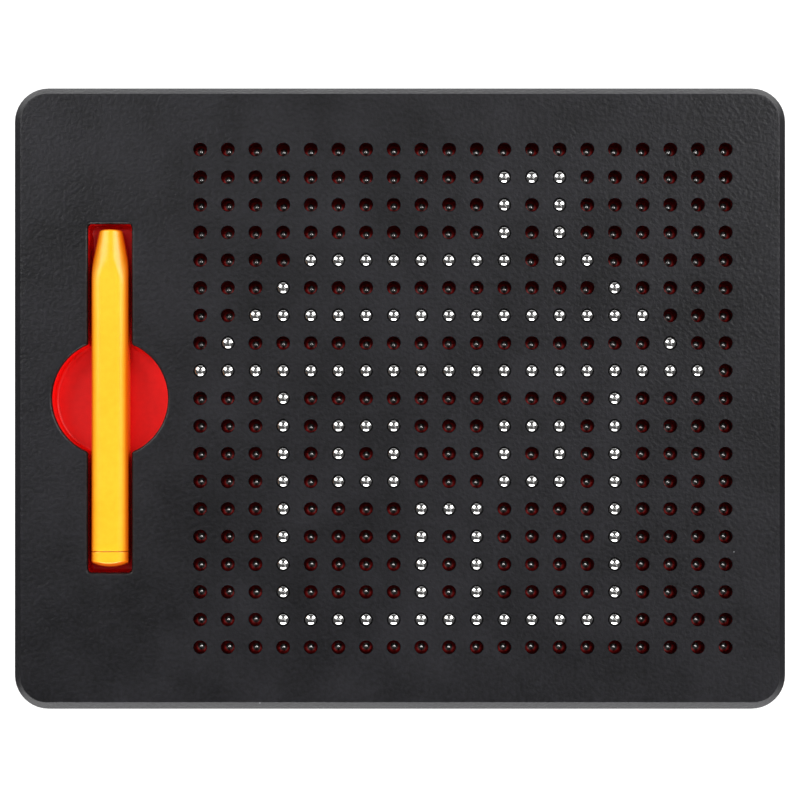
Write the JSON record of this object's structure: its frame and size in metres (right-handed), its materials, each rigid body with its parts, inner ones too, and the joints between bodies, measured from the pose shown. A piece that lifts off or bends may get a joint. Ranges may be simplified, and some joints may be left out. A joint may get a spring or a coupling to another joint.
{
  "type": "magnetic ball drawing board",
  "caption": "Flat drawing board with steel balls in a grid of cells that a magnetic stylus pulls up flush with the face, and a tray for the stylus.",
  "frame": {"origin": "on the surface under the feet, below the middle of the board", "axes": "+X along the long side away from the stylus tray, +Y towards the roof of the drawing, +Z out of the drawing face"},
  "size_m": [0.252, 0.203, 0.0166],
  "materials": {
    "cover_plastic": "fine spark-eroded texture",
    "back_plastic": "fine texture",
    "red_plastic": "satin",
    "magnet_sheet": "matt",
    "steel": "polished bearing ball",
    "yellow_plastic": "satin",
    "magnet_metal": "nickel plated",
    "screw_steel": "zinc plated",
    "foot_rubber": "matt"
  },
  "bodies": {
    "case": {"top_cover": "cover_plastic", "magnet_sheet": "magnet_sheet", "cell_plate": "red_plastic", "back_cover": "back_plastic", "case_screws": "screw_steel", "rubber_feet": "foot_rubber"},
    "stylus": {"stylus_barrel": "yellow_plastic", "stylus_magnet": "magnet_metal", "stylus_end_plug": "yellow_plastic"},
    "row_02_balls_up": {"row_02_balls_up": "steel"},
    "row_03_balls_up": {"row_03_balls_up": "steel"},
    "row_04_balls_up": {"row_04_balls_up": "steel"},
    "row_05_balls_up": {"row_05_balls_up": "steel"},
    "row_06_balls_up": {"row_06_balls_up": "steel"},
    "row_07_balls_up": {"row_07_balls_up": "steel"},
    "row_08_balls_up": {"row_08_balls_up": "steel"},
    "row_09_balls_up": {"row_09_balls_up": "steel"},
    "row_10_balls_up": {"row_10_balls_up": "steel"},
    "row_11_balls_up": {"row_11_balls_up": "steel"},
    "row_12_balls_up": {"row_12_balls_up": "steel"},
    "row_13_balls_up": {"row_13_balls_up": "steel"},
    "row_14_balls_up": {"row_14_balls_up": "steel"},
    "row_15_balls_up": {"row_15_balls_up": "steel"},
    "row_16_balls_up": {"row_16_balls_up": "steel"},
    "row_17_balls_up": {"row_17_balls_up": "steel"},
    "row_18_balls_up": {"row_18_balls_up": "steel"},
    "row_01_balls_down": {"row_01_balls_down": "steel"},
    "row_02_balls_down": {"row_02_balls_down": "steel"},
    "row_03_balls_down": {"row_03_balls_down": "steel"},
    "row_04_balls_down": {"row_04_balls_down": "steel"},
    "row_05_balls_down": {"row_05_balls_down": "steel"},
    "row_06_balls_down": {"row_06_balls_down": "steel"},
    "row_07_balls_down": {"row_07_balls_down": "steel"},
    "row_08_balls_down": {"row_08_balls_down": "steel"},
    "row_09_balls_down": {"row_09_balls_down": "steel"},
    "row_10_balls_down": {"row_10_balls_down": "steel"},
    "row_11_balls_down": {"row_11_balls_down": "steel"},
    "row_12_balls_down": {"row_12_balls_down": "steel"},
    "row_13_balls_down": {"row_13_balls_down": "steel"},
    "row_14_balls_down": {"row_14_balls_down": "steel"},
    "row_15_balls_down": {"row_15_balls_down": "steel"},
    "row_16_balls_down": {"row_16_balls_down": "steel"},
    "row_17_balls_down": {"row_17_balls_down": "steel"},
    "row_18_balls_down": {"row_18_balls_down": "steel"},
    "row_19_balls_down": {"row_19_balls_down": "steel"}
  },
  "joints": [
    {"name": "stylus_lift", "type": "slide", "parent": "case", "child": "stylus", "axis": [0, 0, 1], "range_m": [0, 0.035]},
    {"name": "row_02_press", "type": "slide", "parent": "case", "child": "row_02_balls_up", "axis": [0, 0.0634, 0.998], "range_m": [-0.00473, 0]},
    {"name": "row_03_press", "type": "slide", "parent": "case", "child": "row_03_balls_up", "axis": [0, 0.0634, 0.998], "range_m": [-0.00473, 0]},
    {"name": "row_04_press", "type": "slide", "parent": "case", "child": "row_04_balls_up", "axis": [0, 0.0634, 0.998], "range_m": [-0.00473, 0]},
    {"name": "row_05_press", "type": "slide", "parent": "case", "child": "row_05_balls_up", "axis": [0, 0.0634, 0.998], "range_m": [-0.00473, 0]},
    {"name": "row_06_press", "type": "slide", "parent": "case", "child": "row_06_balls_up", "axis": [0, 0.0634, 0.998], "range_m": [-0.00473, 0]},
    {"name": "row_07_press", "type": "slide", "parent": "case", "child": "row_07_balls_up", "axis": [0, 0.0634, 0.998], "range_m": [-0.00473, 0]},
    {"name": "row_08_press", "type": "slide", "parent": "case", "child": "row_08_balls_up", "axis": [0, 0.0634, 0.998], "range_m": [-0.00473, 0]},
    {"name": "row_09_press", "type": "slide", "parent": "case", "child": "row_09_balls_up", "axis": [0, 0.0634, 0.998], "range_m": [-0.00473, 0]},
    {"name": "row_10_press", "type": "slide", "parent": "case", "child": "row_10_balls_up", "axis": [0, 0.0634, 0.998], "range_m": [-0.00473, 0]},
    {"name": "row_11_press", "type": "slide", "parent": "case", "child": "row_11_balls_up", "axis": [0, 0.0634, 0.998], "range_m": [-0.00473, 0]},
    {"name": "row_12_press", "type": "slide", "parent": "case", "child": "row_12_balls_up", "axis": [0, 0.0634, 0.998], "range_m": [-0.00473, 0]},
    {"name": "row_13_press", "type": "slide", "parent": "case", "child": "row_13_balls_up", "axis": [0, 0.0634, 0.998], "range_m": [-0.00473, 0]},
    {"name": "row_14_press", "type": "slide", "parent": "case", "child": "row_14_balls_up", "axis": [0, 0.0634, 0.998], "range_m": [-0.00473, 0]},
    {"name": "row_15_press", "type": "slide", "parent": "case", "child": "row_15_balls_up", "axis": [0, 0.0634, 0.998], "range_m": [-0.00473, 0]},
    {"name": "row_16_press", "type": "slide", "parent": "case", "child": "row_16_balls_up", "axis": [0, 0.0634, 0.998], "range_m": [-0.00473, 0]},
    {"name": "row_17_press", "type": "slide", "parent": "case", "child": "row_17_balls_up", "axis": [0, 0.0634, 0.998], "range_m": [-0.00473, 0]},
    {"name": "row_18_press", "type": "slide", "parent": "case", "child": "row_18_balls_up", "axis": [0, 0.0634, 0.998], "range_m": [-0.00473, 0]},
    {"name": "row_01_lift", "type": "slide", "parent": "case", "child": "row_01_balls_down", "axis": [0, 0.0634, 0.998], "range_m": [0, 0.00437]},
    {"name": "row_02_lift", "type": "slide", "parent": "case", "child": "row_02_balls_down", "axis": [0, 0.0634, 0.998], "range_m": [0, 0.00437]},
    {"name": "row_03_lift", "type": "slide", "parent": "case", "child": "row_03_balls_down", "axis": [0, 0.0634, 0.998], "range_m": [0, 0.00437]},
    {"name": "row_04_lift", "type": "slide", "parent": "case", "child": "row_04_balls_down", "axis": [0, 0.0634, 0.998], "range_m": [0, 0.00437]},
    {"name": "row_05_lift", "type": "slide", "parent": "case", "child": "row_05_balls_down", "axis": [0, 0.0634, 0.998], "range_m": [0, 0.00437]},
    {"name": "row_06_lift", "type": "slide", "parent": "case", "child": "row_06_balls_down", "axis": [0, 0.0634, 0.998], "range_m": [0, 0.00437]},
    {"name": "row_07_lift", "type": "slide", "parent": "case", "child": "row_07_balls_down", "axis": [0, 0.0634, 0.998], "range_m": [0, 0.00437]},
    {"name": "row_08_lift", "type": "slide", "parent": "case", "child": "row_08_balls_down", "axis": [0, 0.0634, 0.998], "range_m": [0, 0.00437]},
    {"name": "row_09_lift", "type": "slide", "parent": "case", "child": "row_09_balls_down", "axis": [0, 0.0634, 0.998], "range_m": [0, 0.00437]},
    {"name": "row_10_lift", "type": "slide", "parent": "case", "child": "row_10_balls_down", "axis": [0, 0.0634, 0.998], "range_m": [0, 0.00437]},
    {"name": "row_11_lift", "type": "slide", "parent": "case", "child": "row_11_balls_down", "axis": [0, 0.0634, 0.998], "range_m": [0, 0.00437]},
    {"name": "row_12_lift", "type": "slide", "parent": "case", "child": "row_12_balls_down", "axis": [0, 0.0634, 0.998], "range_m": [0, 0.00437]},
    {"name": "row_13_lift", "type": "slide", "parent": "case", "child": "row_13_balls_down", "axis": [0, 0.0634, 0.998], "range_m": [0, 0.00437]},
    {"name": "row_14_lift", "type": "slide", "parent": "case", "child": "row_14_balls_down", "axis": [0, 0.0634, 0.998], "range_m": [0, 0.00437]},
    {"name": "row_15_lift", "type": "slide", "parent": "case", "child": "row_15_balls_down", "axis": [0, 0.0634, 0.998], "range_m": [0, 0.00437]},
    {"name": "row_16_lift", "type": "slide", "parent": "case", "child": "row_16_balls_down", "axis": [0, 0.0634, 0.998], "range_m": [0, 0.00437]},
    {"name": "row_17_lift", "type": "slide", "parent": "case", "child": "row_17_balls_down", "axis": [0, 0.0634, 0.998], "range_m": [0, 0.00437]},
    {"name": "row_18_lift", "type": "slide", "parent": "case", "child": "row_18_balls_down", "axis": [0, 0.0634, 0.998], "range_m": [0, 0.00437]},
    {"name": "row_19_lift", "type": "slide", "parent": "case", "child": "row_19_balls_down", "axis": [0, 0.0634, 0.998], "range_m": [0, 0.00437]}
  ]
}
